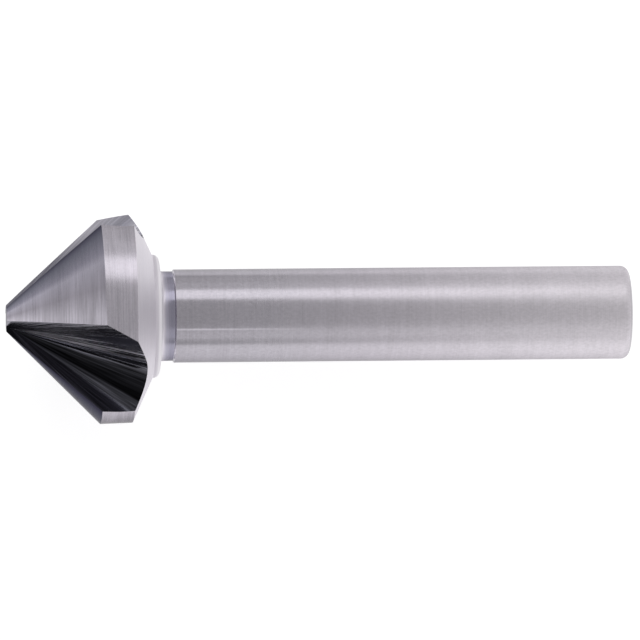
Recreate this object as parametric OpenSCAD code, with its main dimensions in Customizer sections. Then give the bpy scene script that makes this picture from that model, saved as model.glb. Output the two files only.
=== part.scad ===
// Countersink bit with a 90 degree point, three ground flutes and a plain round shank.
// It lies on the floor as it comes to rest: on the two rear corners of the land
// beside one flute, and on the rim at the end of the shank.

/* [Point] */
// Largest diameter that the bit can cut
head_d = 23; // [19:0.5:28]
// Diameter of the flat tip, the smallest hole that the bit enters
tip_d = 3.2; // [2.8:0.1:4]
// Angle between opposite sides of the cutting cone
point_angle = 90; // [84:1:96]
// How far the axis of each tooth's cone is set over, which clears the surface behind its edge
relief_offset = 0.22; // [0.1:0.02:0.4]

/* [Land and back] */
// Length of the round land behind the cone
land_l = 3.5; // [3:0.1:5]
// Angle at which the land narrows towards the shank
land_taper = 1.8; // [0.5:0.1:3]
// Angle between the back of the head and the axis
back_angle = 65; // [60:1:72]

/* [Flutes] */
// Radius at which the root of a flute starts
flute_start_r = 1.16; // [1:0.02:1.4]
// Distance from the tip to the start of the root
flute_start_z = 0.5; // [0.3:0.05:1]
// Angle round the axis from the flute's direction back to the start of its root
flute_start_turn = 50; // [45:1:60]
// Angle between the root of a flute and the axis of the bit
flute_tilt = 44; // [43:0.5:46]
// Angle between the cutting face and the heel face of a flute
flute_opening = 71; // [66:1:75]
// Angle that the middle of a flute leans from straight outwards to its heel face
flute_lean = 28; // [24:1:32]
// Half angle of the cone that rounds the root
root_half_angle = 15; // [13:0.5:16]

/* [Collar and neck] */
// Diameter of the collar behind the head
collar_d = 13.2; // [12.4:0.1:14]
// Length of the collar
collar_l = 0.7; // [0.7:0.05:1.2]
// Radius of the collar's rounded corner
collar_round = 0.6; // [0.3:0.05:0.6]
// Diameter of the neck
neck_d = 9.6; // [9:0.1:9.8]
// Length of the neck
neck_l = 1.6; // [1.4:0.1:3]
// Radius of the fillet between the collar and the neck
neck_fillet = 0.45; // [0.2:0.05:0.6]

/* [Shank] */
// Diameter of the shank
shank_d = 10; // [10:0.1:11]
// Length from the tip to the end of the shank
total_l = 67; // [55:1:90]
// Chamfer at the end of the shank
end_chamfer = 0.5; // [0.2:0.1:1]

/* [Hidden] */
teeth = 3;
pitch = 360 / teeth;
tip_r = tip_d / 2;
head_r = head_d / 2;
collar_r = collar_d / 2;
neck_r = neck_d / 2;
shank_r = shank_d / 2;

// Stations along the axis, measured from the tip
land_z = (head_r - tip_r) / tan(point_angle / 2);
back_z = land_z + land_l;
back_r = head_r - land_l * tan(land_taper);
collar_z = back_z + (back_r - collar_r) / tan(back_angle);
neck_z = collar_z + collar_l;
shank_z = neck_z + neck_l;
rim_z = total_l - end_chamfer;

// Past the largest part of the head in every direction
beyond = 2 * head_d;
arc_steps = 8;

// Flute zero points this way round the axis, and the root starts behind it
flute_turn = 38;
flute_start = [
    flute_start_r * cos(flute_turn + flute_start_turn),
    flute_start_r * sin(flute_turn + flute_start_turn),
    flute_start_z];

// The faces of a flute touch the root cone on these sides, and a hair less than
// tangent makes them meet the cone in a clean line
face_angle = root_half_angle - 0.03;
rake_side = 90 - flute_lean + flute_opening / 2;
heel_side = 270 - flute_lean - flute_opening / 2;
inner_side = (rake_side + heel_side) / 2;
inner_angle = atan(tan(face_angle) * cos((heel_side - rake_side) / 2));

// Directions of flute zero: outwards, sideways, and along its root
outwards = [cos(flute_tilt) * cos(flute_turn), cos(flute_tilt) * sin(flute_turn), -sin(flute_tilt)];
sideways = [-sin(flute_turn), cos(flute_turn), 0];
along = [sin(flute_tilt) * cos(flute_turn), sin(flute_tilt) * sin(flute_turn), cos(flute_tilt)];

// How far a place, from the start of the root, lies outside one face of the flute
function outside(p, side, angle) =
    p * (cos(angle) * (cos(side) * outwards + sin(side) * sideways) - sin(angle) * along);

// Whether flute zero takes away a place
function in_flute(p) =
    p * along > norm(p) * cos(root_half_angle)
    || max(outside(p, rake_side, face_angle),
           outside(p, heel_side, face_angle),
           outside(p, inner_side, inner_angle)) < 0;

// Angle round the axis at which flute zero ends on a circle of the head, by halving the
// span between an angle in the flute and one on a tooth
function flute_end(r, z, flute, tooth, halvings = 40) =
    let (middle = (flute + tooth) / 2)
    halvings == 0 ? middle
    : in_flute([r * cos(middle), r * sin(middle), z] - flute_start)
        ? flute_end(r, z, middle, tooth, halvings - 1)
        : flute_end(r, z, flute, middle, halvings - 1);

edge_angle = flute_end(head_r, land_z, flute_turn, flute_turn + pitch / 2);
edge_corner = flute_end(back_r, back_z, flute_turn, flute_turn + pitch / 2);
heel_corner = flute_end(back_r, back_z, flute_turn, flute_turn - pitch / 2);

// Resting place: the flute next round faces straight down between two land corners
rest_half = (edge_corner - heel_corner) / 2;
rest_turn = -(edge_corner + heel_corner) / 2 - pitch;
rest_drop = back_r * cos(rest_half);
rest_tilt = atan((rest_drop - shank_r) / (rim_z - back_z));
rest_z = back_z * sin(rest_tilt) + rest_drop * cos(rest_tilt);
rest_x = (total_l * cos(rest_tilt) + (shank_r - end_chamfer - tip_r) * sin(rest_tilt)) / 2;

function arc(centre, r, from, to) = [
    for (i = [0 : arc_steps])
        let (a = from + (to - from) * i / arc_steps)
        centre + r * [cos(a), sin(a)]];

// Half section of the turned blank: radius, then distance from the tip
module blank_section() {
    polygon(concat(
        [[0, 0], [head_r, 0], [head_r, land_z], [back_r, back_z], [collar_r, collar_z]],
        arc([collar_r - collar_round, neck_z - collar_round], collar_round, 0, 90),
        arc([neck_r + neck_fillet, neck_z + neck_fillet], neck_fillet, 270, 180),
        [[neck_r, shank_z - 2 * (shank_r - neck_r)], [shank_r, shank_z],
         [shank_r, rim_z], [shank_r - end_chamfer, total_l], [0, total_l]]));
}

module blank() {
    rotate_extrude($fn = 128) blank_section();
}

// Third of the space round the point, a little over a full pitch wide
module tooth_sector(middle) {
    half = pitch / 2 + 1;
    translate([0, 0, -1])
        linear_extrude(height = back_z)
            polygon([
                [0, 0],
                beyond * [cos(middle - half), sin(middle - half)],
                beyond * [cos(middle), sin(middle)],
                beyond * [cos(middle + half), sin(middle + half)]]);
}

// What the grinder takes off in front of one tooth: all outside a cone that is set
// over ahead of the edge, so that the surface falls away behind the edge
module cone_grind() {
    lead = 30;
    over = relief_offset * [cos(edge_angle - lead), sin(edge_angle - lead)];
    start_r = tip_r - relief_offset * cos(lead);
    slope = tan(point_angle / 2);
    difference() {
        tooth_sector(edge_angle + pitch / 4);
        translate([over.x, over.y, -start_r / slope])
            cylinder(h = beyond, r1 = 0, r2 = beyond * slope, $fn = 128);
    }
}

// All on one side of a plane through the apex of the root cone
module half_space(side, angle) {
    rotate([0, angle, side])
        translate([-beyond, -beyond, -beyond])
            cube([beyond, 2 * beyond, 2 * beyond]);
}

// Form that the flute leaves: a round conical root between two flat faces
module flute_form() {
    translate(flute_start)
        rotate([0, flute_tilt, flute_turn]) {
            cylinder(h = beyond, r1 = 0, r2 = beyond * tan(root_half_angle), $fn = 96);
            intersection() {
                half_space(rake_side, face_angle);
                half_space(heel_side, face_angle);
                half_space(inner_side, inner_angle);
            }
        }
}

module countersink() {
    color("silver")
        difference() {
            blank();
            for (i = [0 : teeth - 1])
                rotate([0, 0, i * pitch]) {
                    cone_grind();
                    flute_form();
                }
        }
}

module countersink_bit() {
    translate([-rest_x, 0, rest_z])
        rotate([0, rest_tilt, 0])
            rotate([rest_turn, 0, 0])
                rotate([0, 90, 0])
                    countersink();
}

countersink_bit();
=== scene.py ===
# %% [markdown]
# # Countersink bit in ground high-speed steel
#
# The real bit is turned from one bar of high-speed steel, hardened, and then ground bright.
# Three scoop-shaped flutes are ground into its cone and polished, so they mirror dark places,
# painted as dark reflection in their tones, beside the fine pale lines of the other surfaces.
# The CAD frame gives the bit's size and its place on the floor.

import bmesh
import bpy
import numpy as np

from mathutils import Matrix, Vector


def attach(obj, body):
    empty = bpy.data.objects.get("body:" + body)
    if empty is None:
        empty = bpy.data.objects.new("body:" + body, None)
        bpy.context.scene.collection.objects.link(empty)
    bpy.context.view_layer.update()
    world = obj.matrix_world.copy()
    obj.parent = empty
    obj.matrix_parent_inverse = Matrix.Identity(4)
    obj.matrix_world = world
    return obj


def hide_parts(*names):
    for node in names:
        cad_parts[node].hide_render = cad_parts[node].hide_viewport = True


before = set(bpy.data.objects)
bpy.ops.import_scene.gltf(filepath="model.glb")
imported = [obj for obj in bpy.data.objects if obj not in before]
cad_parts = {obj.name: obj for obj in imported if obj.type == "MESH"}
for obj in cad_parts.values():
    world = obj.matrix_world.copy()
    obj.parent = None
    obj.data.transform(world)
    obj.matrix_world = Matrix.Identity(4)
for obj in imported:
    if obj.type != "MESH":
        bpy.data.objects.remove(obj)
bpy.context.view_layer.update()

# %% [markdown]
# ## One skin worked out from formulas
#
# The CAD mesh is made of flat facets, and a polished surface shows each of them. The surfaces
# themselves are simple, though: cones, planes and turned shapes. So the skin is worked out
# again from the part's own sizes, with the tip at the origin and the axis along Z.
# Neighbouring surfaces use the same points along the line where they meet, so they weld into
# one closed shell.

# %% Sizes of the bit in millimetres and degrees
HEAD_R, TIP_R = 11.5, 1.6
LAND_L, LAND_TAPER, BACK_ANGLE = 3.5, 1.8, 65.0
COLLAR_R, COLLAR_L, COLLAR_ROUND = 6.6, 0.7, 0.6
NECK_R, NECK_L, NECK_FILLET, NECK_STEP_L = 4.8, 1.6, 0.45, 0.15
SHANK_R, TOTAL_Z, END_ROUND = 5.0, 67.0, 0.9
TEETH = 3
PITCH = 360 / TEETH
AXIS = np.zeros(3)

# How far each tooth's cone is set over, and in which direction: so many degrees ahead of its edge
RELIEF_OFFSET, RELIEF_LEAD = 0.22, 30.0

# Angle round the axis at which the cutting edge meets the land, as the part's source finds it
EDGE_TURN = 61.651

# Distances from the tip. The point is square, so the cone grows in radius as in length.
TAPER, BACK_SLOPE = np.tan(np.radians(LAND_TAPER)), np.tan(np.radians(BACK_ANGLE))
CONE_TIP_R = TIP_R - RELIEF_OFFSET * np.cos(np.radians(RELIEF_LEAD))
LAND_Z = HEAD_R - TIP_R
BACK_Z = LAND_Z + LAND_L
BACK_R = HEAD_R - LAND_L * TAPER
COLLAR_Z = BACK_Z + (BACK_R - COLLAR_R) / BACK_SLOPE
NECK_Z = COLLAR_Z + COLLAR_L
SHANK_Z = NECK_Z + NECK_L
print("land %.2f, back %.2f, collar %.2f, neck %.2f and shank %.2f mm behind the tip"
      % (LAND_Z, BACK_Z, COLLAR_Z, NECK_Z, SHANK_Z))


# %% [markdown]
# ## The faces of a flute
#
# A flute is what a grinding wheel with a rounded rim leaves: a cutting face and a heel face,
# both flat, with a round root between them. All three pass through one point near the tip, where the
# wheel starts to bite. A Boolean modifier could cut such a wheel's shape out of a cone, but
# the edges would then have the facets of both meshes. Here each face is swept by straight
# lines from that point, so it is a formula of which line and how far along it.

# %% Directions of the cutting face, the root and the heel face
def at(angle, radius, z):
    """Points at an angle round the axis in degrees, a radius and a distance from the tip."""
    a, r, z = np.broadcast_arrays(np.radians(angle), radius, z)
    return np.stack([r * np.cos(a), r * np.sin(a), z], -1)


# Where the first flute lies round the axis, how its root is tilted, and the root's half angle
FLUTE_TURN, FLUTE_TILT, ROOT_ANGLE = 38.0, 44.0, 15.0

# The angle between the two flat faces, and how far their middle leans towards the heel face
FLUTE_OPENING, FLUTE_LEAN = 71.0, 28.0
RAKE_SIDE = 90 - FLUTE_LEAN + FLUTE_OPENING / 2
HEEL_SIDE = 270 - FLUTE_LEAN - FLUTE_OPENING / 2

# The start of the root: how far back round the axis, its radius and its distance from the tip
START_TURN, START_R, START_Z = 50.0, 1.16, 0.5
FLUTE_START = at(FLUTE_TURN + START_TURN, START_R, START_Z)
tilt = np.radians(FLUTE_TILT)
root_x = at(FLUTE_TURN, np.cos(tilt), -np.sin(tilt))
root_y = at(FLUTE_TURN + 90, 1.0, 0.0)
root_z = at(FLUTE_TURN, np.sin(tilt), np.cos(tilt))


def on_root(side, angle):
    """Direction that leans from the root's axis by one angle, towards a side round it."""
    side, angle = np.radians(side)[..., None], np.radians(angle)
    return np.cos(angle) * root_z + np.sin(angle) * (np.cos(side) * root_x + np.sin(side) * root_y)


# The plane that touches the root along one side has its normal square to that side's line
rake_normal, heel_normal = on_root(RAKE_SIDE, ROOT_ANGLE + 90), on_root(HEEL_SIDE, ROOT_ANGLE + 90)
crease = np.cross(rake_normal, heel_normal)
crease *= np.sign(crease[2]) / np.linalg.norm(crease)
print("flute starts at", FLUTE_START.round(3), "and the faces meet along", crease.round(3))


# %% [markdown]
# ## Lines where the surfaces meet
#
# At each distance from the tip, a turned or ground surface is a circle and a flat face is a
# straight line. Where the line crosses the circle follows from one arc cosine, so a cutting
# edge is worked out exactly, point by point. Each tooth's cone is set over ahead of its edge,
# which is the real tool's relief: the surface falls away behind the edge, so only the edge
# touches the work.

# %% Formulas for the cutting edge and the relieved cone
def cut(normal, centre, radius, z, turn):
    """Points where a flat face crosses circles at distances z from the tip: the angle round
    each circle is the normal's own angle, plus the turn, which is 1 or -1, times the arc
    cosine of the face's distance from the centre over the radius."""
    reach = np.hypot(normal[0], normal[1])
    far = normal @ FLUTE_START - normal[2] * z - normal @ centre
    angle = np.arctan2(normal[1], normal[0]) + turn * np.arccos(far / (radius * reach))
    return at(np.degrees(angle), radius, z) + centre


def land_r(z):
    """Radius of the land, which narrows a little towards the shank."""
    return HEAD_R - (z - LAND_Z) * TAPER


def set_over(angle, relief):
    """How far a centre that is set over by the relief lies ahead and aside, seen from the
    axis at an angle: a dot and a cross product."""
    towards = at(angle, 1.0, 0.0)
    return towards @ relief, np.cross(towards, relief)[..., 2]


def front_z(angle, relief):
    """Distance from the tip at which a tooth's cone, set over by the relief, reaches the
    land: the root of the quadratic that equates their radii at that angle."""
    ahead, aside = set_over(angle, relief)
    reach = HEAD_R + LAND_Z * TAPER - ahead
    b, c = CONE_TIP_R + TAPER * reach, CONE_TIP_R**2 - reach**2 - aside**2
    return (np.sqrt(b**2 - (1 - TAPER**2) * c) - b) / (1 - TAPER**2)


relief = at(EDGE_TURN - RELIEF_LEAD, RELIEF_OFFSET, 0.0)
print("each cone's centre is set over by", relief.round(3), "mm")

# %% [markdown]
# ## Cutting edge and heel line
#
# The cutting edge does the work, and on the other side of the flute the heel line ends the
# tooth before it. Both run from the tip to the front of the land. Only one flute is worked
# out, and turning it by a third of a circle gives the next, so all three teeth are alike.

# %% Cutting edge and heel line of the first flute
# Into how many steps each line or surface is divided
EDGE_STEPS, LAND_STEPS, WIDTH_STEPS, BACK_STEPS, TIP_STEPS, FAN_STEPS = 48, 8, 60, 30, 10, 24
PASSES = 12


def corner_z(normal, relief, turn):
    """Distance from the tip of the corner that a flat face cuts into the front of the land,
    found by going back and forth between the two formulas above."""
    z = LAND_Z
    for _ in range(PASSES):
        x, y, _z = cut(normal, AXIS, land_r(z), z, turn)
        z = front_z(np.degrees(np.arctan2(y, x)), relief)
    return z


def turned(points, angle):
    """Points turned round the axis of the bit by an angle in degrees."""
    c, s = np.cos(np.radians(angle)), np.sin(np.radians(angle))
    return points @ np.array([[c, s, 0], [-s, c, 0], [0, 0, 1]])


# The heel line belongs to the tooth before the flute, whose relief is one pitch back
relief_before = turned(relief, -PITCH)
edge_z = corner_z(rake_normal, relief, -1) * np.linspace(0, 1, EDGE_STEPS + 1)
heel_z = corner_z(heel_normal, relief_before, 1) * np.linspace(0, 1, EDGE_STEPS + 1)
edge = cut(rake_normal, relief, CONE_TIP_R + edge_z, edge_z, -1)
heel = cut(heel_normal, relief_before, CONE_TIP_R + heel_z, heel_z, 1)
tip_corner = FLUTE_START - crease * FLUTE_START[2] / crease[2]
print("cutting edge from", edge[0].round(3), "to", edge[-1].round(3))

# %% [markdown]
# ## Where the flute breaks out of the head
#
# Behind the cutting edge the boundary lies on the round root, so it is found the other way
# round: straight lines are sent out from the start of the flute, and each stops where it
# passes through the land or through the cone at the back.

# %% Lines from the start of the flute
# Radius that each turned cone would have at the tip's station, and how fast it narrows
LAND = HEAD_R + TAPER * LAND_Z, TAPER
BACK = BACK_R + BACK_SLOPE * BACK_Z, BACK_SLOPE


def leave(directions, radius, slope):
    """Points where lines from the start of the flute pass through a turned cone, whose
    radius at the tip's station and slope are given: the nearer root of a quadratic."""
    d, d_z = directions[..., :2], directions[..., 2]
    reach = radius - slope * FLUTE_START[2]
    a = (d**2).sum(-1) - (slope * d_z) ** 2
    b = d @ FLUTE_START[:2] + reach * slope * d_z
    c = FLUTE_START[:2] @ FLUTE_START[:2] - reach**2
    far = -c / (b + np.sqrt(b**2 - a * c))
    return FLUTE_START + far[..., None] * directions


def fan(first, last, steps):
    """Directions that turn evenly from one to another: each is a blend of the two."""
    share = np.linspace(0, 1, steps + 1)[:, None]
    first, last = first / np.linalg.norm(first), last / np.linalg.norm(last)
    angle = np.arccos(first @ last)
    return (np.sin((1 - share) * angle) * first + np.sin(share * angle) * last) / np.sin(angle)


middle_of_root = leave(on_root((RAKE_SIDE + HEEL_SIDE) / 2, ROOT_ANGLE), *BACK)
print("the middle of the root leaves the back at", middle_of_root.round(3))

# %% Boundary of the flute on the land and on the back
HALVINGS = 40

# The side of the root that reaches the rear corner of the land, by halving
corner_side, past_corner = RAKE_SIDE, (RAKE_SIDE + HEEL_SIDE) / 2
for _ in range(HALVINGS):
    middle = (corner_side + past_corner) / 2
    if leave(on_root(middle, ROOT_ANGLE), *LAND)[2] > BACK_Z:
        past_corner = middle
    else:
        corner_side = middle

land_sides = np.linspace(RAKE_SIDE, corner_side, LAND_STEPS + 1)
back_sides = np.linspace(corner_side, HEEL_SIDE, 2 * BACK_STEPS + 1)
root_on_land = leave(on_root(land_sides, ROOT_ANGLE), *LAND)
root_on_back = leave(on_root(back_sides, ROOT_ANGLE), *BACK)
rake_land_z = np.linspace(edge_z[-1], root_on_land[0, 2], LAND_STEPS + 1)
rake_on_land = cut(rake_normal, AXIS, land_r(rake_land_z), rake_land_z, -1)
edge_land = np.concatenate([rake_on_land[:-1], root_on_land])
heel_land_z = np.linspace(heel_z[-1], BACK_Z, 2 * LAND_STEPS + 1)
heel_land = cut(heel_normal, AXIS, land_r(heel_land_z), heel_land_z, 1)
heel_lines = fan(root_on_back[-1] - FLUTE_START, heel_land[-1] - FLUTE_START, BACK_STEPS)
back_line = np.concatenate([root_on_back[:-1], leave(heel_lines, *BACK)])
print("flute ends %.2f to %.2f mm behind the tip" % (back_line[:, 2].min(), back_line[:, 2].max()))

# %% [markdown]
# ## The shell, surface by surface
#
# Each surface is a grid of points, and each grid cell becomes one face. Every point also
# gets two numbers that say where it lies on the machining marks: how far along a mark, and
# how far over the marks. The finishes use them to draw grinding lines that go the way the
# wheel went.

# %% Keep a surface with its finish and its marks
surfaces = []


def add_surface(finish, points, along, over):
    """Keeps one grid of points with its finish and its places along and over the marks."""
    along, over = (np.broadcast_to(x, points.shape[:2]) for x in (along, over))
    surfaces.append((finish, points, np.stack([along, over], -1)))


def blend(first, last, share):
    """Values a share of the way from the first to the last."""
    return first + (last - first) * share


def line(first, last, steps):
    """Points spaced evenly on a straight line."""
    return blend(first, last, np.linspace(0, 1, steps + 1)[:, None])


def angle_of(points):
    """Angle round the axis of the bit, in degrees and without a jump."""
    return np.degrees(np.unwrap(np.arctan2(points[..., 1], points[..., 0])))


def radius_of(points):
    """Distance from the axis of the bit."""
    return np.hypot(points[..., 0], points[..., 1])


edge_angle, heel_angle = angle_of(edge), angle_of(turned(heel, PITCH))
print("a tooth is %.1f degrees wide at the tip, %.1f at the land"
      % (heel_angle[0] - edge_angle[0], heel_angle[-1] - edge_angle[-1]))

# %% [markdown]
# ## Teeth
#
# A tooth is what is left between two flutes: a piece of the ground cone, and behind it a
# short round land. One plain cone could serve all three teeth, but it would rub behind each
# edge, so every tooth gets its own set-over cone. It is swept from the cutting edge back to
# the next flute's heel line, so its rows follow the lines that the grinding wheel leaves.

# %% Cone and land of one tooth
share_w = np.linspace(0, 1, WIDTH_STEPS + 1)
share_e = np.linspace(0, 1, EDGE_STEPS + 1)[:, None]

# Cone: rows from the tip to the land, each from the edge to the heel. The angle blends
# evenly, and the radius is the set-over cone's at that angle.
angle = blend(edge_angle[:, None], heel_angle[:, None], share_w)
cone_z = blend(edge_z[:, None], heel_z[:, None], share_w)
cone_z += share_e * (front_z(angle[-1], relief) - cone_z[-1])
ahead, aside = set_over(angle, relief)
tooth_cone = at(angle, ahead + np.sqrt((CONE_TIP_R + cone_z) ** 2 - aside**2), cone_z)
behind_edge = angle - angle[:, :1]

# Land: rows from the cone to the back, with the taper's radius
left, right = angle_of(edge_land)[:, None], angle_of(turned(heel_land, PITCH))[:, None]
angle = blend(left, right, share_w)
land_z = blend(edge_land[:, 2:], heel_land[:, 2:], share_w)
angle[0], land_z[0] = angle_of(tooth_cone[-1]), tooth_cone[-1, :, 2]
tooth_land = at(angle, land_r(land_z), land_z)

for k in range(TEETH):
    add_surface("ground cone", turned(tooth_cone, k * PITCH), behind_edge, tooth_cone[..., 2])
    add_surface("ground land", turned(tooth_land, k * PITCH), angle - EDGE_TURN, land_z)
print("cone of a tooth %s points, land %s points" % (tooth_cone.shape[:2], tooth_land.shape[:2]))

# %% [markdown]
# ## Flutes
#
# A flute carries the chips out of the hole. Its three faces could be three grids, but all of
# them share one start and one boundary. So the boundary is one closed loop, and straight
# lines join it to the point where the flute starts. The lines open like a fan, and the angle
# in the fan says which face a place is on. The wheel moved along these lines, so the marks
# run along them too.

# %% Flutes
CROWDING = 1.5  # above 1, the rows lie closer together towards the start of the flute
tip_out, tip_back = line(tip_corner, edge[0], TIP_STEPS), line(heel[0], tip_corner, TIP_STEPS)
loop = np.concatenate([
    tip_out[:-1], edge[:-1], edge_land[:-1], back_line[:-1],
    heel_land[:0:-1], heel[:0:-1], tip_back])
spokes = loop - FLUTE_START
lengths = np.linalg.norm(spokes, axis=1)
rays = spokes / lengths[:, None]
turns = np.degrees(np.arccos(np.clip((rays[1:] * rays[:-1]).sum(1), -1, 1)))
fan_angle = np.concatenate([[0], np.cumsum(turns)])
out = (np.linspace(0, 1, FAN_STEPS + 1) ** CROWDING)[:, None]
flute = FLUTE_START + out[..., None] * spokes

root_starts = TIP_STEPS + EDGE_STEPS + LAND_STEPS
heel_starts = root_starts + LAND_STEPS + 2 * BACK_STEPS
faces_of_flute = {"polished flute": slice(0, heel_starts + 1), "ground heel": slice(heel_starts, None)}
for k in range(TEETH):
    for finish, part in faces_of_flute.items():
        face = turned(flute[:, part], k * PITCH)
        add_surface(finish, face, (out * lengths)[:, part], fan_angle[part])
print("the fan reaches %.1f degrees at the root, %.1f at the heel face and %.1f at its end"
      % (fan_angle[root_starts], fan_angle[heel_starts], fan_angle[-1]))

# %% [markdown]
# ## Back of the head
#
# The head slopes in to the collar, and the flutes cut into that slope. So its outer outline
# is broken, and it isn't a plain turned surface. It is swept with straight lines from that
# outline in to the collar's circle, which gives the outline's points to both.

# %% Back of the head
BACK_ROWS = 6
third = np.concatenate([tooth_land[-1, :-1], turned(back_line, PITCH)[:0:-1]])
ring = np.concatenate([turned(third, k * PITCH) for k in range(TEETH)] + [third[:1]])
ring_angle = angle_of(ring)
back_share = np.linspace(0, 1, BACK_ROWS + 1)[:, None, None]
back = blend(ring, at(ring_angle, COLLAR_R, COLLAR_Z), back_share)
add_surface("ground back", back, ring_angle, radius_of(back))
print("the outline of the back has", len(ring), "points")

# %% [markdown]
# ## Collar, neck and shank
#
# These are turned on a lathe, so each is a half section taken round the axis. A Screw
# modifier could do that, but its points wouldn't meet those of the back, so a formula takes
# the section round at the very angles of the back's lines. The small neck lets the wheel run
# out when the shank is ground, and the rounded edge at its end lets it slip into a chuck.

# %% Collar, neck and shank
ARC_STEPS, SHANK_ROWS = 14, 8


def arc(centre_r, centre_z, radius, first, last):
    """Radius and distance from the tip of points on a round corner."""
    a = np.radians(np.linspace(first, last, ARC_STEPS + 1))
    return np.stack([centre_r + radius * np.cos(a), centre_z + radius * np.sin(a)], -1)


def revolve(*stretches):
    """Turned surface: each point of a half section goes round at the angles of the ring."""
    r, z = np.concatenate(stretches).T[..., None]
    return at(ring_angle, r, z)


corner_of_collar = arc(COLLAR_R - COLLAR_ROUND, NECK_Z - COLLAR_ROUND, COLLAR_ROUND, 0, 90)
fillet = arc(NECK_R + NECK_FILLET, NECK_Z + NECK_FILLET, NECK_FILLET, 270, 180)
edge_of_end = arc(SHANK_R - END_ROUND, TOTAL_Z - END_ROUND, END_ROUND, 0, 90)
side_ends = np.array([[SHANK_R, SHANK_Z], [SHANK_R, TOTAL_Z - END_ROUND]])
half = ARC_STEPS // 2
collar = revolve([[COLLAR_R, COLLAR_Z]], corner_of_collar, fillet[:1])
neck = revolve(fillet, [[NECK_R, SHANK_Z - NECK_STEP_L], [SHANK_R, SHANK_Z]])
shank = revolve(line(*side_ends, SHANK_ROWS)[:-1], edge_of_end[:half + 1])
shank_end = revolve(edge_of_end[half:], [[SHANK_R / 2, TOTAL_Z], [0, TOTAL_Z]])

for finish, part in (("turned collar", collar), ("turned neck", neck), ("ground shank", shank)):
    add_surface(finish, part, ring_angle, part[..., 2])
add_surface("ground end", shank_end, ring_angle, radius_of(shank_end))
print(len(surfaces), "surfaces,", sum(p[..., 0].size for _, p, _ in surfaces), "points")

# %% [markdown]
# ## Where it lies
#
# A countersink bit rolls until two corners of its land touch the floor, one on each side of
# a flute, and its shank end drops onto the floor behind it. The part's source works out the
# turn, the tilt and the shift, and the same ones put this shell in the same place. Values of
# our own would leave the shell a little turned against the CAD model.

# %% Turns and shift that bring the shell to its place
REST_TURN, REST_TILT, REST_X, REST_Z = -158.047, 5.80204, 33.475, 11.697


def turn_about(axis, angle):
    """Matrix of a turn about X or Y, in degrees."""
    c, s = np.cos(np.radians(angle)), np.sin(np.radians(angle))
    about_x = [[1, 0, 0], [0, c, -s], [0, s, c]]
    about_y = [[c, 0, s], [0, 1, 0], [-s, 0, c]]
    return np.array({"X": about_x, "Y": about_y}[axis])


PLACE = turn_about("Y", REST_TILT) @ turn_about("X", REST_TURN) @ turn_about("Y", 90)


def at_rest(points):
    """Points of the shell in metres, where the bit lies on the floor."""
    return (points @ PLACE.T + [-REST_X, 0, REST_Z]) / 1000


print("tip at", at_rest(AXIS).round(4), "and shank end at", at_rest([0, 0, TOTAL_Z]).round(4), "m")

# %% [markdown]
# ## One mesh
#
# The real tool is one piece of steel, and separate meshes would show hairlines between them.
# So the grids go into one mesh with the flat face of the tip. Points that lie within a tenth
# of a micrometre become one, which makes the shell watertight: no edge is open, and its
# volume can be measured. The marks become the UV map, and each point also keeps its own
# place in millimetres for the patterns.

# %% Join the grids
# The finishes in the order of the material slots
FINISHES = ["ground cone", "ground land", "ground back", "turned neck", "ground shank", "ground end",
            "ground heel", "polished flute", "turned collar"]
TIP_MARKS = (18.0, 0.0)  # the tip's face looks as the cone does 18 degrees behind an edge

points, marks, faces, finish_index = [], [], [], []
count = 0
for finish, grid, grid_marks in surfaces:
    # The number of each grid cell's first point, from which its other three follow
    rows, columns = grid.shape[:2]
    corner = count + np.arange(rows - 1)[:, None] * columns + np.arange(columns - 1)
    quads = np.stack([corner, corner + 1, corner + columns + 1, corner + columns], -1).reshape(-1, 4)
    points.append(grid.reshape(-1, 3))
    marks.append(grid_marks.reshape(-1, 2))
    faces += quads.tolist()
    finish_index += [FINISHES.index(finish)] * len(quads)
    count += rows * columns

tip_third = np.concatenate([tip_out[:-1], tooth_cone[0, :-1], turned(tip_back, PITCH)[:-1]])
tip_face = np.concatenate([turned(tip_third, k * PITCH) for k in range(TEETH)])
points = np.concatenate(points + [tip_face])
marks = np.concatenate(marks + [np.tile(TIP_MARKS, (len(tip_face), 1))])
faces.append(list(range(count, count + len(tip_face))))
finish_index.append(FINISHES.index("ground cone"))
print(len(points), "points and", len(faces), "faces")

# %% Make the mesh, its marks and its own places
mesh = bpy.data.meshes.new("countersink_bit_skin")
mesh.from_pydata(at_rest(points).tolist(), [], faces)
mesh.polygons.foreach_set("material_index", finish_index)
corner_point = np.zeros(len(mesh.loops), np.int32)
mesh.loops.foreach_get("vertex_index", corner_point)
uv_map = mesh.uv_layers.new(name="marks")
uv_map.data.foreach_set("uv", marks[corner_point].astype(np.float32).ravel())
own_place = mesh.attributes.new("bit_mm", "FLOAT_VECTOR", "POINT")
own_place.data.foreach_set("vector", points.astype(np.float32).ravel())
print("marks run to", marks.max(0).round(1))

# %% Weld the shell and put it in the frame
WELD_M, SHARP_ANGLE = 1e-7, 14  # edges that turn by more than this angle stay crisp
welded = bmesh.new()
welded.from_mesh(mesh)
bmesh.ops.remove_doubles(welded, verts=welded.verts, dist=WELD_M)
bmesh.ops.recalc_face_normals(welded, faces=welded.faces)
open_edges = sum(not e.is_manifold for e in welded.edges)
print("welded from", len(mesh.vertices), "to", len(welded.verts), "points, open edges:", open_edges)
print("volume %.1f mm3" % (welded.calc_volume(signed=True) * 1e9))
welded.to_mesh(mesh)
welded.free()
mesh.shade_smooth()
mesh.set_sharp_from_angle(angle=np.radians(SHARP_ANGLE))

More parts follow.
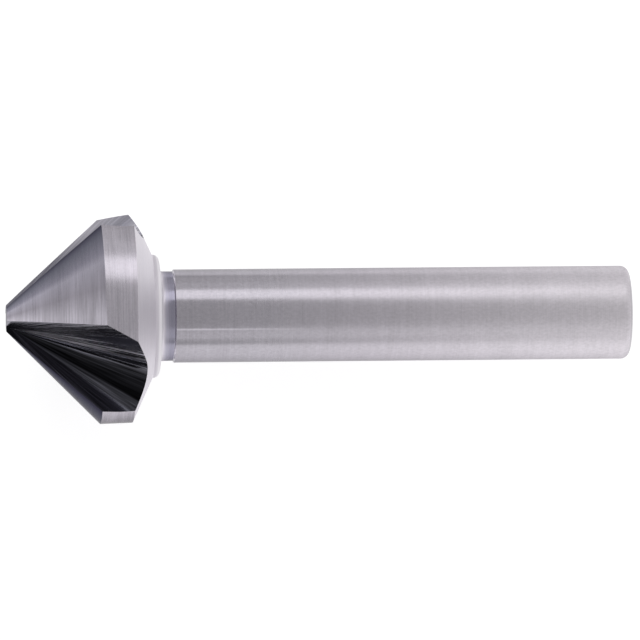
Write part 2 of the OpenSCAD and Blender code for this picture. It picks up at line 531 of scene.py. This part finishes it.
bit = bpy.data.objects.new("countersink_bit_ground", mesh)
bpy.context.scene.collection.objects.link(bit)
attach(bit, "root")
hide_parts("countersink_bit")
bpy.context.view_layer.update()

# %% [markdown]
# ## Finishes
#
# All of it is high-speed steel, and what differs is how each surface was made. The wheel that
# ground the cone, the land and the shank went round the axis, so their fine lines go round it
# too, and a highlight spreads across the lines. The flutes were ground along their length, so
# their streaks fan out from the tip. A picture of brushed metal could be wrapped round the
# bit, but it would stretch on the cone and in the flutes. So each finish is a metal of its
# own colour and roughness, with noise laid on the marks of its surface. The colours are
# matched to the photograph under the studio at the end of this file.

# %% Helpers for the finishes
def linear(colour):
    """Linear colour of an sRGB hex value."""
    value = np.array([int(colour[i:i + 2], 16) for i in (1, 3, 5)]) / 255
    return (*np.where(value <= 0.04045, value / 12.92, ((value + 0.055) / 1.055) ** 2.4), 1.0)


def add(tree, kind, sockets=None, **settings):
    """Adds a node, sets its own settings, and sets or links its sockets."""
    node = tree.nodes.new("ShaderNode" + kind)
    for name, value in settings.items():
        setattr(node, name, value)
    for name, value in (sockets or {}).items():
        if isinstance(value, bpy.types.NodeSocket):
            tree.links.new(value, node.inputs[name])
        else:
            node.inputs[name].default_value = value
    return node


def new_metal(name):
    """An empty material, its tree and its shader, which is a metal."""
    material = bpy.data.materials.new(name)
    material.use_nodes = True
    tree = material.node_tree
    shader = tree.nodes["Principled BSDF"]
    shader.inputs["Metallic"].default_value = 1.0
    return material, tree, shader


def marks_of(tree):
    """How far along the machining marks a place lies, and how far over them."""
    uv = add(tree, "UVMap", uv_map="marks")
    return add(tree, "SeparateXYZ", {0: uv.outputs["UV"]}).outputs[:2]


print("a mid grey of #808080 is %.3f in linear light" % linear("#808080")[0])

# %% [markdown]
# ## Tones and patterns
#
# What bright steel mirrors changes smoothly over a surface, so a finish has a few tones, many
# of them painted reflection and shade, at places along or over its marks, and blends between
# them. A noise makes a tone uneven: it multiplies the colour by a factor a little under or over 1.

# %% Tones along the marks, made uneven by a noise
NOISE_SPAN = (0.3, 0.7)


def ramp(tree, place, stops):
    """How far a place is from the first stop to the last, as a share, and the value or
    colour there, which changes evenly from stop to stop."""
    first, last = stops[0][0], stops[-1][0]
    share = add(tree, "MapRange", {"Value": place, "From Min": first, "From Max": last})
    node = add(tree, "ValToRGB", {"Fac": share.outputs["Result"]})
    elements = node.color_ramp.elements
    for _ in stops[2:]:
        elements.new(0.5)
    for element, (where, value) in zip(elements, stops):
        element.position = (where - first) / (last - first)
        element.color = linear(value) if isinstance(value, str) else (value, value, value, 1.0)
    return share.outputs["Result"], node.outputs["Color"]


def times(tree, colour, value, first, last, span=NOISE_SPAN):
    """Colour times a factor that goes from the first to the last as a value, such as a
    noise, goes over its span."""
    factor = add(tree, "MapRange", {
        "Value": value, "From Min": span[0], "From Max": span[1], "To Min": first, "To Max": last})
    product = add(tree, "VectorMath", {0: colour, 1: factor.outputs["Result"]}, operation="MULTIPLY")
    return product.outputs["Vector"]


print("a noise counts from %.1f to %.1f" % NOISE_SPAN)

# %% [markdown]
# ## Grinding lines and spots
#
# A wheel's grit leaves lines 0.03 to 0.05 mm apart, which are finer than a pixel. Here they
# are drawn about 0.2 mm apart, so that they show, and the noise's finer layers fill them in.
# As the grit dulls, it also leaves spots about 0.25 mm wide and 0.4 mm long.

# %% Lines round the axis, and spots
LINE_LENGTH, SPOT_WIDTH, SPOT_LENGTH = 6.25, 0.25, 0.4


def round_lines(tree, lines_per_mm, detail=3.0):
    """Lines that go round the axis: noise that changes fast over the marks, and slowly
    round the bit, where a line keeps its shade for some millimetres."""
    place = add(tree, "Attribute", attribute_name="bit_mm")
    bit_x, bit_y = add(tree, "SeparateXYZ", {0: place.outputs["Vector"]}).outputs[:2]
    _, over = marks_of(tree)
    x = add(tree, "Math", {0: bit_x, 1: 1 / LINE_LENGTH}, operation="MULTIPLY")
    y = add(tree, "Math", {0: bit_y, 1: 1 / LINE_LENGTH}, operation="MULTIPLY")
    z = add(tree, "Math", {0: over, 1: lines_per_mm}, operation="MULTIPLY")
    vector = add(tree, "CombineXYZ", {0: x.outputs[0], 1: y.outputs[0], 2: z.outputs[0]})
    sockets = {"Vector": vector.outputs[0], "Scale": 1.0, "Detail": detail, "Roughness": 0.65}
    return add(tree, "TexNoise", sockets).outputs["Fac"]


def spots(tree):
    """Spots: noise in the bit's own millimetres, slower along the axis."""
    place = add(tree, "Attribute", attribute_name="bit_mm").outputs["Vector"]
    rate = (1 / SPOT_WIDTH, 1 / SPOT_WIDTH, 1 / SPOT_LENGTH)
    scaled = add(tree, "VectorMath", {0: place, 1: rate}, operation="MULTIPLY")
    sockets = {"Vector": scaled.outputs["Vector"], "Scale": 1.0, "Detail": 2.0, "Roughness": 0.6}
    return add(tree, "TexNoise", sockets).outputs["Fac"]


print("a line keeps its shade for %.1f mm, spots are %.2f by %.2f mm"
      % (LINE_LENGTH, SPOT_WIDTH, SPOT_LENGTH))

# %% [markdown]
# ## Ground and turned steel
#
# One function makes every finish whose marks go round the axis, because they differ only in
# numbers: how bright, how matt, and how clear the lines are. The shader is anisotropic, with
# its tangent along the marks and turned by a quarter, so a highlight is drawn out across the
# lines, as on any brushed metal. The lines are also a bump, less than a micrometre deep.

# %% Steel with marks round the axis
ALONG, OVER = 0, 1
MICROMETRE = 1e-6
NOISE_MEAN, NOISE_GAIN = 0.5, 5.0  # a noise strays about 0.2 from its mean, and the gain makes that 1
LINES_A_BAND, BAND_WEIGHT = 6, 0.5  # broader bands, where one pass of the wheel meets the next
MATT_SPREAD = 0.1  # how much the roughness differs over the whole range of the lines' noise


def ground_steel(name, tones, rough, contrast, spotty, lines_per_mm=5.0, depth_um=0.6,
                 axis=OVER, glare=1.0):
    """Steel with lines round the axis. Its colour is a tone times a factor: 1, plus how far
    the lines and bands stray from their mean times the contrast, plus how far the spots
    stray times how spotty it is. The roughness and the contrast each go from their first
    value to their second, from the first tone to the last. Then come the lines a millimetre,
    their depth in micrometres, whether the tones go along or over the marks, and the share
    of the metal's glare at a grazing angle that is left."""
    material, tree, shader = new_metal(name)
    share, tone = ramp(tree, marks_of(tree)[axis], tones)
    lines = round_lines(tree, lines_per_mm)
    bands = round_lines(tree, lines_per_mm / LINES_A_BAND, detail=1.0)

    both = add(tree, "Math", {0: bands, 1: BAND_WEIGHT, 2: lines}, operation="MULTIPLY_ADD")
    mean = NOISE_MEAN * (1 + BAND_WEIGHT)
    stray = add(tree, "Math", {0: both.outputs[0], 1: mean}, operation="SUBTRACT").outputs[0]
    strength = add(tree, "MapRange", {
        "Value": share, "To Min": NOISE_GAIN * contrast[0], "To Max": NOISE_GAIN * contrast[1]})
    gain = NOISE_GAIN * spotty
    spotted = add(tree, "Math", {0: spots(tree), 1: gain, 2: 1 - gain * NOISE_MEAN},
                  operation="MULTIPLY_ADD")
    factor = add(tree, "Math", {0: stray, 1: strength.outputs["Result"], 2: spotted.outputs[0]},
                 operation="MULTIPLY_ADD")
    colour = add(tree, "VectorMath", {0: tone, 1: factor.outputs[0]}, operation="MULTIPLY")

    lowest = [value - MATT_SPREAD / 2 for value in rough]
    matt = add(tree, "MapRange", {"Value": share, "To Min": lowest[0], "To Max": lowest[1]})
    uneven_matt = add(tree, "Math", {0: lines, 1: MATT_SPREAD, 2: matt.outputs["Result"]},
                      operation="MULTIPLY_ADD")
    bump = add(tree, "Bump", {"Height": lines, "Distance": depth_um * MICROMETRE, "Strength": 1.0})
    tangent = add(tree, "Tangent", direction_type="UV_MAP", uv_map="marks")
    for node, socket in ((colour, "Base Color"), (uneven_matt, "Roughness"),
                         (bump, "Normal"), (tangent, "Tangent")):
        tree.links.new(node.outputs[0], shader.inputs[socket])
    shader.inputs["Anisotropic"].default_value = 0.5
    shader.inputs["Anisotropic Rotation"].default_value = 0.25
    shader.inputs["Specular Tint"].default_value = (glare, glare, glare, 1.0)
    return material


print("a band is as wide as %d lines" % LINES_A_BAND)

# %% [markdown]
# ## Cone, land and back of the head
#
# The cone and the land are ground after hardening, since they make the cutting edge. On the
# cone the tones go from painted shade near the edge, standing in for a dark reflection, to a
# painted highlight and pale further round, so they go along the marks, by degrees behind the
# edge, and its lines grow clearer on the way. A painted highlight makes it a little brighter
# near the point. The back faces away from the work and is matt.

# %% Finishes of the head
finishes = {}


def brighten(material, value, first, last, span):
    """Multiplies the colour of a finished material by a factor that goes from the first to
    the last as a value goes over its span."""
    tree = material.node_tree
    base = tree.nodes["Principled BSDF"].inputs["Base Color"]
    tree.links.new(times(tree, base.links[0].from_socket, value, first, last, span), base)


# Finely ground: smooth enough to mirror broad light and dark, with clear lines; its tones add painted
# shade near the edge and a painted highlight further round
CONE_REFLECTION_TONES = [
    (0, "#504F5A"), (3, "#62616E"), (9, "#7E7E8B"), (21, "#9E9BAA"),
    (27, "#BDB9C7"), (42, "#B0ABB6"), (58, "#D6D1DC")]
# Painted highlight near the point: the colour is a quarter brighter over these millimetres from the tip
POINT_SHINE, POINT_Z = 1.25, (0.5, 5.0)  # a quarter brighter, over these millimetres from the tip
finishes["ground cone"] = ground_steel(
    "ground_steel_cone", CONE_REFLECTION_TONES, rough=(0.26, 0.30), contrast=(0.01, 0.24), spotty=0.025,
    axis=ALONG, glare=0.3)
_, from_tip = marks_of(finishes["ground cone"].node_tree)
brighten(finishes["ground cone"], from_tip, POINT_SHINE, 1.0, POINT_Z)

# Ground on a cylinder: one even tone, and a bright band where it mirrors the soft box
finishes["ground land"] = ground_steel(
    "ground_steel_land", [(10, "#BDB8C1"), (13, "#BDB8C1")], rough=(0.27, 0.27),
    contrast=(0.12, 0.12), spotty=0.04, glare=0.4)

# Ground, but left matt: it spreads the light, so it is pale and hardly mirrors
finishes["ground back"] = ground_steel(
    "ground_steel_back", [(6, "#DEDAE1"), (12, "#DEDAE1")], rough=(0.55, 0.55),
    contrast=(0.03, 0.03), spotty=0.015, lines_per_mm=4.0, depth_um=0.3)
print("finishes of the head:", ", ".join(finishes))

# %% [markdown]
# ## Collar and neck
#
# The collar and the neck are only turned, since nothing runs on them. The collar's rounded
# edge has a painted highlight, the brightest place on the tool. In the hollow behind it the
# neck's tones go from a painted highlight on its fillet to a darker tone within a millimetre,
# and the step up to the shank is painted bright again, over its shade. Their tones go over
# the marks, by millimetres from the tip.

# %% Finishes of the collar and the neck
# Turned and left matt: it spreads the light in every direction, so it is nearly white, and its rounded
# edge carries a painted highlight
COLLAR_HIGHLIGHT_TONES = [(15.6, "#EEEBF0"), (15.9, "#EEEBF0"), (16.05, "#FAF8FB"), (16.35, "#F2F0F4")]
finishes["turned collar"] = ground_steel(
    "turned_steel_collar", COLLAR_HIGHLIGHT_TONES, rough=(0.85, 0.85), contrast=(0.03, 0.03),
    spotty=0.0, depth_um=0.3)

# Turned smooth: its mirroring grows sharper towards the shank. Its tones are a painted highlight on the
# fillet, a darker tone, and a painted bright step
NECK_HIGHLIGHT_TONES = [
    (16.3, "#FCFAFD"), (16.6, "#D8D3DC"), (16.9, "#ADAAB8"), (17.4, "#9794A4"),
    (17.77, "#9996A6"), (17.79, "#F0EDF5"), (17.95, "#F0EDF5")]
finishes["turned neck"] = ground_steel(
    "turned_steel_neck", NECK_HIGHLIGHT_TONES, rough=(0.46, 0.10), contrast=(0.06, 0.06),
    spotty=0.0, glare=0.5)
print("finishes so far:", ", ".join(finishes))

# %% [markdown]
# ## Shank
#
# The shank is ground true, so that a chuck can hold it. The wheel leaves faint lines and a
# grain of fine spots. It is smoother near the neck and more matt towards its end, and its tones
# grow paler towards the end as painted light. One fine bright line near the neck is a painted
# reflection of a thin light strip.

# %% Finishes of the shank and its end
# The tones grow paler towards the end as painted light, for a brighter reflected room there
SHANK_PAINTED_LIGHT_TONES = [(17.9, "#AEAAB2"), (27, "#B5B1B9"), (38, "#C0BBC3"), (52, "#D0CBD2"), (67, "#E0DBE1")]
# A bright line near the neck, painted as the reflection of a thin light strip: place, width, fade,
# brightness
GLINT_LINE_TURN, GLINT_LINE_LEAN = 375.94, 0.047  # degrees round the shank, and degrees a millimetre
GLINT_LINE_WIDTH, GLINT_LINE_FADE = (0.5, 1.6), (20.0, 33.0)  # half width in degrees, and mm from the tip
GLINT_LINE_SHINE = 1.5


def painted_glint_line(material):
    """Brightens a fine line along the shank, a painted reflection of a thin light strip. The
    distance from the line is the angle round the shank less the line's angle at that station,
    and the line fades from its middle outwards and away from the neck."""
    tree = material.node_tree
    along, over = marks_of(tree)
    upright = add(tree, "Math", {0: over, 1: -GLINT_LINE_LEAN, 2: along}, operation="MULTIPLY_ADD")
    aside = add(tree, "Math", {0: upright.outputs[0], 1: GLINT_LINE_TURN}, operation="SUBTRACT")
    aside = add(tree, "Math", {0: aside.outputs[0]}, operation="ABSOLUTE")
    shares = []
    for value, (near, far) in ((aside.outputs[0], GLINT_LINE_WIDTH), (over, GLINT_LINE_FADE)):
        sockets = {"Value": value, "From Min": near, "From Max": far, "To Min": 1.0, "To Max": 0.0}
        shares.append(add(tree, "MapRange", sockets).outputs["Result"])
    faded = add(tree, "Math", {0: shares[0], 1: shares[1]}, operation="MULTIPLY")
    brighten(material, faded.outputs[0], 1.0, GLINT_LINE_SHINE, (0.0, 1.0))


# Ground between centres: soft lines round it, and a grain that takes off the mirror's edge
finishes["ground shank"] = ground_steel(
    "ground_steel_shank", SHANK_PAINTED_LIGHT_TONES, rough=(0.20, 0.54), contrast=(0.05, 0.04),
    spotty=0.065, lines_per_mm=6.0, depth_um=0.3, glare=0.6)
painted_glint_line(finishes["ground shank"])

# Ground flat: an even grey, with rings round the middle
finishes["ground end"] = ground_steel(
    "ground_steel_end", [(0, "#C1BEC3"), (5, "#C1BEC3")], rough=(0.40, 0.40),
    contrast=(0.06, 0.06), spotty=0.02, lines_per_mm=4.0, depth_um=0.3)
print("finishes so far:", ", ".join(finishes))

# %% [markdown]
# ## Flutes
#
# Chips slide through the flutes, so these are polished: mirrors whose dark is painted reflection
# in their tones, and in which a few streaks catch the light. The streaks keep to one angle of
# the fan, and one degree of the fan is 0.17 mm wide at 10 mm from the start. The real polishing
# marks are finer than a pixel, so the streaks are drawn coarser: one change is 0.25 mm wide
# there, with finer ones of 0.08 mm over it.

# %% Steel with marks along a flute
STREAKS, FINEST_STREAKS = (0.10, 0.7), (0.05, 2.2)  # changes a millimetre along, and a degree over
ROUGH_BY_STREAKS, ROUGH_BY_FINEST = (0.4, 1.6), (0.7, 1.3)


def fan_streaks(tree, rates):
    """Noise with so many changes a millimetre along the streaks, and a degree of the fan."""
    along, over = marks_of(tree)
    a = add(tree, "Math", {0: along, 1: rates[0]}, operation="MULTIPLY")
    b = add(tree, "Math", {0: over, 1: rates[1]}, operation="MULTIPLY")
    vector = add(tree, "CombineXYZ", {0: a.outputs[0], 1: b.outputs[0]})
    sockets = {"Vector": vector.outputs[0], "Scale": 1.0, "Detail": 2.0, "Roughness": 0.6}
    return add(tree, "TexNoise", sockets, noise_dimensions="2D").outputs["Fac"]


def flute_steel(name, tones, rough, reach, contrast):
    """Steel ground along a flute. Each stop of its tones and of its roughness has an angle
    of the fan, the value near the start of the flute and the value at its mouth, and the
    reach says between which distances one turns into the other. The contrast says how much
    the streaks differ."""
    material, tree, shader = new_metal(name)
    along, over = marks_of(tree)
    far = add(tree, "MapRange", {"Value": along, "From Min": reach[0], "From Max": reach[1]})

    def mixed(stops):
        """Value over the fan, mixed between the start of the flute and its mouth."""
        _, at_start = ramp(tree, over, [(angle, value) for angle, value, _ in stops])
        _, at_mouth = ramp(tree, over, [(angle, value) for angle, _, value in stops])
        # Inputs 6 and 7 and output 2 are the ones that hold colours
        sockets = {"Factor": far.outputs["Result"], 6: at_start, 7: at_mouth}
        return add(tree, "Mix", sockets, data_type="RGBA").outputs[2]

    streaks, finest = fan_streaks(tree, STREAKS), fan_streaks(tree, FINEST_STREAKS)
    tone = times(tree, mixed(tones), streaks, 1 - contrast, 1 + contrast)
    tone = times(tree, tone, finest, 1 - contrast / 2, 1 + contrast / 2)
    matt = times(tree, mixed(rough), streaks, *ROUGH_BY_STREAKS)
    matt = times(tree, matt, finest, *ROUGH_BY_FINEST)
    bump = add(tree, "Bump", {"Height": finest, "Distance": MICROMETRE, "Strength": 1.0})
    for output, socket in ((tone, "Base Color"), (matt, "Roughness"), (bump.outputs["Normal"], "Normal")):
        tree.links.new(output, shader.inputs[socket])
    return material


print("one degree of the fan is %.2f mm wide at 10 mm" % (10 * np.radians(1)))

# %% [markdown]
# ## Root and heel of a flute
#
# The cutting face, up to 160 degrees of the fan, and the root, up to 188, are one polished
# surface. It looks nearly black, with a paler band where the root turns up to the heel. The
# steel isn't dark itself: it mirrors a dark place. This room is pale, and would fill such a
# mirror with light, so the dark and the paler band are painted reflection in the tones. The
# heel face does no cutting and is only ground, so it is bright grey, with painted reflected
# light and shade in its tones.

# %% Finishes of the flutes
# Each stop is an angle of the fan, the value near the start of the flute, and that at its mouth

# Polished: nearly without blur, with painted dark reflection and paler painted bands, and its streaks
# differ strongly
FLUTE_REFLECTION_TONES = [
    (148, "#303034", "#404046"), (154.5, "#36363C", "#5C5C64"), (158, "#222226", "#303036"),
    (163, "#222226", "#303036"), (166.5, "#2C2C32", "#5A5A62"), (170, "#111114", "#0A0A0C"),
    (179, "#2A2A2E", "#26262A"), (183.5, "#AFAEBE", "#626169"), (188.3, "#7C7B86", "#B8B6C6")]
FLUTE_ROUGH = [(148, 0.10, 0.10), (182, 0.10, 0.10), (186.5, 0.38, 0.28), (188.3, 0.42, 0.32)]
finishes["polished flute"] = flute_steel(
    "polished_steel_flute", FLUTE_REFLECTION_TONES, FLUTE_ROUGH, reach=(4.0, 14.0), contrast=0.85)

# Ground: paler, smoother away from the root, with painted reflected light and shade in its tones, and its
# streaks differ little
HEEL_REFLECTION_TONES = [
    (188.3, "#D3D0DA", "#D3D0DA"), (194, "#D3D0DA", "#CBC8D3"), (198, "#D3D0DA", "#AEACB9"),
    (204, "#D3D0DA", "#B2B0BC"), (209, "#86848F", "#C2BFCA"), (230, "#86848F", "#E0DDE6"),
    (340, "#86848F", "#E0DDE6")]
HEEL_ROUGH = [
    (188.3, 0.42, 0.32), (192, 0.44, 0.28), (195.5, 0.24, 0.20),
    (198, 0.34, 0.13), (202, 0.18, 0.11), (340, 0.18, 0.10)]
finishes["ground heel"] = flute_steel(
    "ground_steel_heel", HEEL_REFLECTION_TONES, HEEL_ROUGH, reach=(8.0, 13.5), contrast=0.2)

for name in FINISHES:
    mesh.materials.append(finishes[name])
print("materials on the bit:", [m.name for m in mesh.materials])

# %% [markdown]
# ## Studio
#
# Polished steel shows only what it mirrors, so the studio is most of the look. The tool in
# the photograph has white all round it and no shadow, as on a light table. So the floor is
# matt white acrylic that glows: white round the bit, and weaker further out, so that it
# doesn't fill the flutes with light. The fade goes by the distance on the floor, so it stays
# put from every view.

# %% Floor
FLOOR_HALF = 3  # metres from the middle to each side
GLOW_M, GLOW_STRENGTH = (0.047, 0.125), (0.77, 0.24)  # metres from the middle, and the glow there
floor_mesh = bpy.data.meshes.new("floor")
corners = [(x * FLOOR_HALF, y * FLOOR_HALF, 0) for x, y in ((-1, -1), (1, -1), (1, 1), (-1, 1))]
floor_mesh.from_pydata(corners, [], [(0, 1, 2, 3)])
floor = bpy.data.objects.new("floor", floor_mesh)
bpy.context.scene.collection.objects.link(floor)

# Matt acrylic: it mirrors next to nothing, and lit from below it shines evenly
table = bpy.data.materials.new("white_acrylic_light_table")
table.use_nodes = True
acrylic = table.node_tree
table_shader = acrylic.nodes["Principled BSDF"]
table_shader.inputs["Base Color"].default_value = linear("#B6B6B6")
table_shader.inputs["Roughness"].default_value = 0.9
table_shader.inputs["Specular IOR Level"].default_value = 0.1
table_shader.inputs["Emission Color"].default_value = linear("#FFFFFF")
on_floor = add(acrylic, "TexCoord").outputs["Object"]
away = add(acrylic, "VectorMath", {0: on_floor}, operation="LENGTH").outputs["Value"]
glow_sockets = {
    "Value": away, "From Min": GLOW_M[0], "From Max": GLOW_M[1],
    "To Min": GLOW_STRENGTH[0], "To Max": GLOW_STRENGTH[1]}
table_glow = add(acrylic, "MapRange", glow_sockets, interpolation_type="SMOOTHSTEP")
acrylic.links.new(table_glow.outputs["Result"], table_shader.inputs["Emission Strength"])
floor_mesh.materials.append(table)
print("floor glows at %.2f round the bit and %.2f further out" % GLOW_STRENGTH)

# %% [markdown]
# ## Lights
#
# One soft box hangs high behind the bit and makes the long highlight on the head and the
# shank. Two weak cards, low behind it and low in front, keep the sides of the tool from
# going dark. How broad a highlight is depends on how large its light looks from the bit, so
# each light is set by where it is seen from there and by its radiance. A picture of a real
# studio could light the bit too, but lamps are easier to match to one photograph.

# %% Lights
LIT_PLACE = (0.0, 0.0, 0.01)  # metres: the middle of the bit, which every light faces


def soft_box(name, azimuth, elevation, distance, size, radiance):
    """A rectangular area light that faces the bit, seen from there at an azimuth from +X and
    an elevation, in degrees. Its distance and size are in metres, and its power is the
    radiance times pi times the area."""
    a, e = np.radians(azimuth), np.radians(elevation)
    towards = np.array([np.cos(a) * np.cos(e), np.sin(a) * np.cos(e), np.sin(e)])
    lamp = bpy.data.lights.new(name, "AREA")
    lamp.shape = "RECTANGLE"
    lamp.size, lamp.size_y = size
    lamp.energy = radiance * np.pi * size[0] * size[1]
    light = bpy.data.objects.new(name, lamp)
    bpy.context.scene.collection.objects.link(light)
    light.location = LIT_PLACE + distance * towards
    light.rotation_mode = "QUATERNION"
    light.rotation_quaternion = Vector(towards).to_track_quat("Z", "Y")
    print("%s: %.2f W" % (name, lamp.energy))


soft_box("soft_box_behind", 73, 56, 0.5, (0.6, 0.22), 0.97)
soft_box("card_behind", 80, 32, 0.6, (0.9, 0.22), 0.14)
soft_box("card_in_front", -81, 22, 0.6, (0.9, 0.28), 0.2)

# %% [markdown]
# ## Room
#
# The room round a light table is pale and nearly even. It is a little brighter low down,
# where it takes light from the table, and towards the shank end.

# %% World
# Heights on a globe of radius 1 round the bit, the glow there, and what the shank's side adds
ROOM_HEIGHTS, ROOM_STRENGTHS = (0.2, 0.8), (0.68, 0.54)
ROOM_TOWARDS_END = 0.08
world = bpy.data.worlds.new("studio")
bpy.context.scene.world = world
world.use_nodes = True
room = world.node_tree
direction = add(room, "SeparateXYZ", {0: add(room, "TexCoord").outputs["Generated"]})
room_sockets = {
    "Value": direction.outputs[2], "From Min": ROOM_HEIGHTS[0], "From Max": ROOM_HEIGHTS[1],
    "To Min": ROOM_STRENGTHS[0], "To Max": ROOM_STRENGTHS[1]}
by_height = add(room, "MapRange", room_sockets)
room_glow = add(
    room, "Math", {0: direction.outputs[0], 1: ROOM_TOWARDS_END, 2: by_height.outputs["Result"]},
    operation="MULTIPLY_ADD")
room.nodes["Background"].inputs["Color"].default_value = linear("#FFFFFF")
room.links.new(room_glow.outputs[0], room.nodes["Background"].inputs["Strength"])
bpy.context.scene.view_settings.view_transform = "Standard"
print("room glows at %.2f low down and %.2f high up" % ROOM_STRENGTHS)

# %% [markdown]
# ## Camera
#
# The photograph has hardly any perspective, as with a long lens, and looks square to the
# bit's axis but for five degrees. The camera's place is worked out in the bit's own
# directions and then goes through the same turns as the shell, so the bit lies in the
# picture as it does in the photograph.

# %% Camera
# How far the view is from square to the axis, and how far the picture is turned
YAW, ROLL = np.radians(5.03), np.radians(0.5)

# The camera's distance in millimetres, and the photograph's size and scale
DISTANCE, PICTURE_PX, PX_PER_MM, SENSOR_MM = 1000.0, 640, 9.32, 36.0
AIM_Z, AIM_PX = 34.0, (322.69, 314.75)  # a place on the axis, and its pixel in the photograph

towards_camera = at(0.0, np.cos(YAW), -np.sin(YAW))
flat_right, flat_up = at(0.0, np.sin(YAW), np.cos(YAW)), np.array([0, -1.0, 0])
right = np.cos(ROLL) * flat_right - np.sin(ROLL) * flat_up
up = np.sin(ROLL) * flat_right + np.cos(ROLL) * flat_up
off_centre = (PICTURE_PX / 2 - AIM_PX[0]) * right + (AIM_PX[1] - PICTURE_PX / 2) * up
aim = [0, 0, AIM_Z] + off_centre / PX_PER_MM

camera_data = bpy.data.cameras.new("camera")
camera_data.sensor_width = SENSOR_MM
camera_data.lens = PX_PER_MM * DISTANCE / PICTURE_PX * SENSOR_MM
camera_data.clip_start, camera_data.clip_end = 0.05, 20
camera = bpy.data.objects.new("camera", camera_data)
bpy.context.scene.collection.objects.link(camera)
pose = np.eye(4)
pose[:3, :3] = PLACE @ np.stack([right, up, towards_camera], -1)
pose[:3, 3] = at_rest(aim + DISTANCE * towards_camera)
camera.matrix_world = Matrix(pose.tolist())
bpy.context.scene.camera = camera
print("camera at", (1000 * pose[:3, 3]).round(1), "mm, lens %.0f mm" % camera_data.lens)
